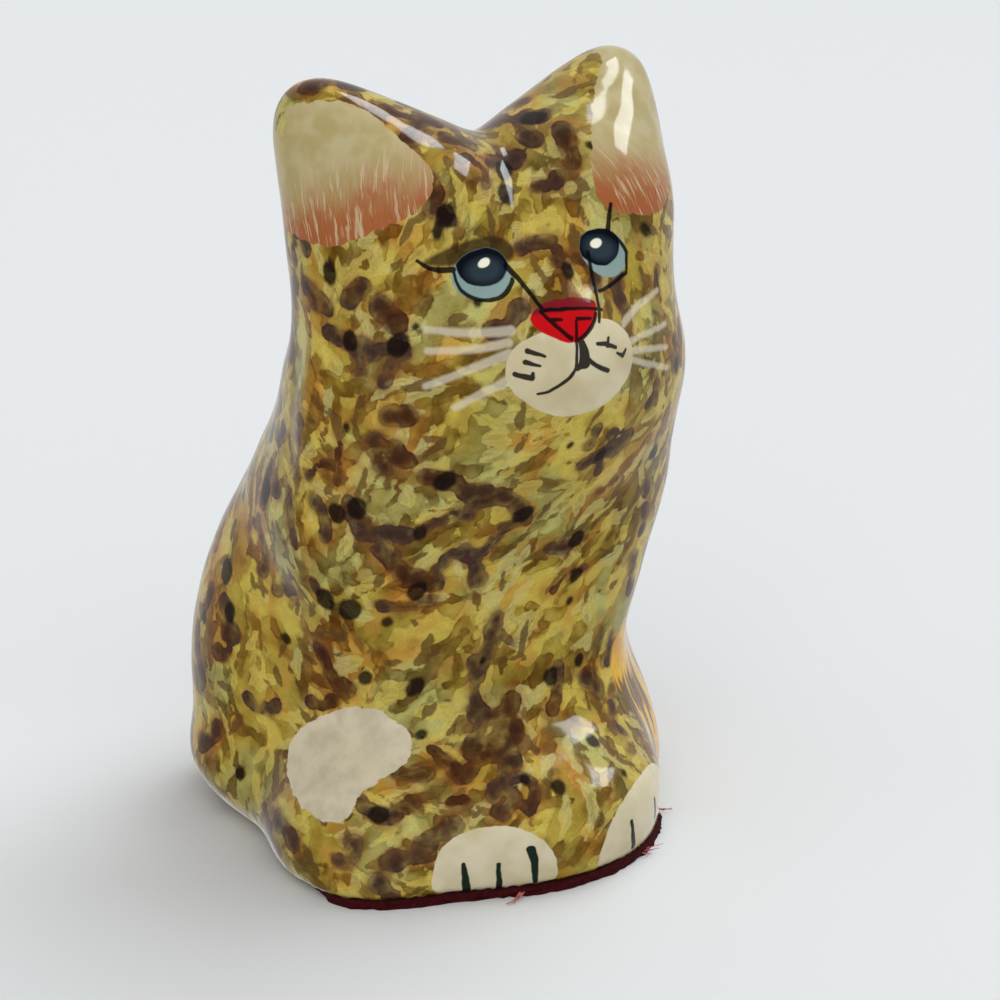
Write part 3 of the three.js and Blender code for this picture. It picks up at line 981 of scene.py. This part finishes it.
def felt_material():
    """Dark red wool felt."""
    material, tree, shader = new_material("red_felt")
    where = add(tree, "TexCoord").outputs["Object"]
    fibre = noise(tree, where, 0.35, 4.0, 0.7, 1.5)
    colour = mixed(tree, ramped(tree, fibre, 0.3, 0.7), srgb(38, 5, 8), srgb(80, 14, 18))
    tree.links.new(colour, shader.inputs["Base Color"])
    shader.inputs["Roughness"].default_value = 0.9
    shader.inputs["Specular IOR Level"].default_value = 0.2
    bump = add(tree, "Bump", {"Strength": 0.8, "Distance": 0.2 * MM, "Height": fibre})
    tree.links.new(bump.outputs[0], shader.inputs["Normal"])
    return material


def thread_material():
    """Loose threads, paler and pinker than the felt."""
    material, tree, shader = new_material("loose_thread")
    fibre = noise(tree, add(tree, "TexCoord").outputs["Object"], 0.3, 2.0)
    colour = mixed(tree, ramped(tree, fibre, 0.35, 0.65), srgb(150, 52, 54), srgb(214, 132, 126))
    tree.links.new(colour, shader.inputs["Base Color"])
    shader.inputs["Roughness"].default_value = 0.85
    return material


THREAD_TAPER = 0.15
THREAD_WANDER = 0.45 * np.array([[0.2], [0.6], [1.0], [1.2], [1.5]])


def loose_thread(route, radius):
    """One thin tube along a route of five points, tapering to its free end."""
    bpy.ops.curve.primitive_nurbs_path_add(location=(0, 0, 0))
    thread = bpy.context.object
    for number, (point, at) in enumerate(zip(thread.data.splines[0].points, route)):
        point.co = (at[0] * MM, at[1] * MM, at[2] * MM, 1)
        point.radius = 1 - THREAD_TAPER * number
    thread.data.splines[0].use_endpoint_u = True
    thread.data.splines[0].resolution_u = 3
    thread.data.bevel_depth = radius * MM
    thread.data.bevel_resolution = 1
    thread.data.use_fill_caps = True
    only(thread)
    bpy.ops.object.convert(target="MESH")
    return bpy.context.object


# Tufts of thread at the felt's edge: root, tip, how many threads, how far they spread, and their radius
TUFTS = [
    ((-4.2, -22.0, 0.7), (-9.0, -25.6, 0.3), 5, 0.5, 0.14),
    ((8.8, -20.6, 0.6), (11.2, -22.8, 0.5), 9, 1.0, 0.09),
    ((16.6, -13.4, 0.6), (19.0, -14.8, 0.5), 5, 0.7, 0.09),
]


def loose_threads():
    """The threads that have come loose along the felt's cut edge, as one piece."""
    rng = np.random.default_rng(5)
    threads = []
    for root, tip, count, spread, radius in TUFTS:
        root, tip = np.array(root), np.array(tip)
        for _ in range(count):
            bends = rng.normal(0, spread, (5, 3)) * THREAD_WANDER
            route = root + np.linspace(0, rng.uniform(0.7, 1.05), 5)[:, None] * (tip - root) + bends
            route[:, 2] = np.clip(route[:, 2], radius + 0.05, FELT_TOP)
            threads.append(loose_thread(route, radius))
    only(threads[0])
    for thread in threads:
        thread.select_set(True)
    bpy.ops.object.join()
    joined = bpy.context.object
    joined.name = "loose_threads"
    bpy.ops.object.shade_smooth()
    return joined


FRAY = 0.1


def felt_disc():
    """The felt pad with a slightly uneven cut edge."""
    felt = copy_of_node("felt_pad", "felt_disc")
    finish_with(felt, "SUBSURF", levels=2, render_levels=2, subdivision_type="SIMPLE")
    points = points_of(felt.data)
    fray = np.random.default_rng(3).normal(0, FRAY, len(points))
    move_points(felt.data, drawn_in(points, FELT_INSET * side_and_back(points) + fray))
    only(felt)
    bpy.ops.object.shade_smooth_by_angle(angle=math.radians(40))
    return felt


# Camera, light and floor

CAMERA_AT = Vector((-149.44, -258.32, 146.83)) * MM
AIM = Vector((2.16, -3.85, 38.40)) * MM
LENS = 101.09
SENSOR = 36.0
ROLL = math.radians(0.34)


def set_camera():
    """The camera at the photograph's angle."""
    back = (CAMERA_AT - AIM).normalized()
    level = Vector((0, 0, 1)).cross(back).normalized()
    upright = back.cross(level)
    right = level * math.cos(ROLL) + upright * math.sin(ROLL)
    up = upright * math.cos(ROLL) - level * math.sin(ROLL)
    bpy.ops.object.camera_add(location=CAMERA_AT)
    camera = bpy.context.object
    camera.name = "view_camera"
    turned = Matrix((right, up, back)).transposed().to_4x4()
    camera.matrix_world = Matrix.Translation(CAMERA_AT) @ turned
    camera.data.lens = LENS
    camera.data.sensor_width = SENSOR
    camera.data.clip_start = 0.01
    bpy.context.scene.camera = camera


def softbox(name, at, size, power):
    """A rectangular light that faces the cat."""
    bpy.ops.object.light_add(type="AREA", location=[c * MM for c in at])
    light = bpy.context.object
    light.name = name
    light.data.shape = "RECTANGLE"
    light.data.size = size[0] * MM
    light.data.size_y = size[1] * MM
    light.data.energy = power
    light.data.color = WINDOW_COLOUR
    towards = Vector((0, 0, AIM_HEIGHT * MM)) - light.location
    light.rotation_euler = towards.to_track_quat("-Z", "Y").to_euler()
    return light


# Windows by place, size and power: they show only as reflections in the lacquer. Daylight by angles in
# degrees, spread, power and colour: it gives the even light on the paint
WINDOWS = [
    ("window", (392, -62, 392), (185, 120), 0.75),
    ("high_window", (250, 72, 495), (110, 110), 0.4),
]
DAYLIGHT = [
    ("key_daylight", (38, 0, 100), 50, 1.8, (0.92, 0.97, 1.0)),
    ("left_daylight", (55, 0, -75), 90, 1.15, (1.0, 0.96, 0.91)),
    ("front_daylight", (58, 0, -10), 90, 1.45, (0.98, 0.98, 1.0)),
]

# The room is dim in front of the cat and pale behind it
BACK_OF_ROOM = (0.5, 0.86, 0.0)
ROOM_COLOUR = (0.97, 0.98, 1.0, 1.0)
DIM_IN_FRONT = 0.10
PALE_BEHIND = 0.72
WINDOW_COLOUR = (0.92, 0.97, 1.0)
AIM_HEIGHT = 45
TABLE_WHITE = (0.70, 0.715, 0.72, 1.0)


def light_studio():
    """A room that is dim in front and pale behind, windows high on the cat's left, and soft daylight."""
    bpy.context.scene.view_settings.view_transform = "Standard"
    world = bpy.data.worlds.new("pale_room")
    bpy.context.scene.world = world
    world.use_nodes = True
    tree = world.node_tree
    direction = add(tree, "TexCoord").outputs["Generated"]
    behind = vectors(tree, "DOT_PRODUCT", direction, BACK_OF_ROOM).outputs["Value"]
    background = tree.nodes["Background"]
    background.inputs["Color"].default_value = ROOM_COLOUR
    strength = ramped(tree, behind, -0.1, 0.75, DIM_IN_FRONT, PALE_BEHIND)
    tree.links.new(strength, background.inputs["Strength"])
    for name, at, size, power in WINDOWS:
        softbox(name, at, size, power).visible_diffuse = False
    for name, angles, spread, power, colour in DAYLIGHT:
        bpy.ops.object.light_add(type="SUN", rotation=[math.radians(angle) for angle in angles])
        light = bpy.context.object
        light.name = name
        light.data.angle = math.radians(spread)
        light.data.energy = power
        light.data.color = colour
        light.visible_glossy = False


def pale_floor():
    """A wide pale table top that the lacquer doesn't mirror."""
    bpy.ops.mesh.primitive_plane_add(size=6.0, location=(0, 0, 0))
    floor = bpy.context.object
    floor.name = "pale_floor"
    material, _, shader = new_material("pale_table")
    shader.inputs["Base Color"].default_value = TABLE_WHITE
    shader.inputs["Roughness"].default_value = 0.8
    floor.data.materials.append(material)
    floor.visible_glossy = False
    return floor


set_camera()
light_studio()
pale_floor()

cat = moulded_figure()
paint_marks(cat)
cat.data.materials.append(painted_coat_material())
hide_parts("cat_body")
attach(cat, "root")

felt = felt_disc()
felt.data.materials.append(felt_material())
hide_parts("felt_pad")
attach(felt, "root")
threads = loose_threads()
threads.data.materials.append(thread_material())
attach(threads, "root")
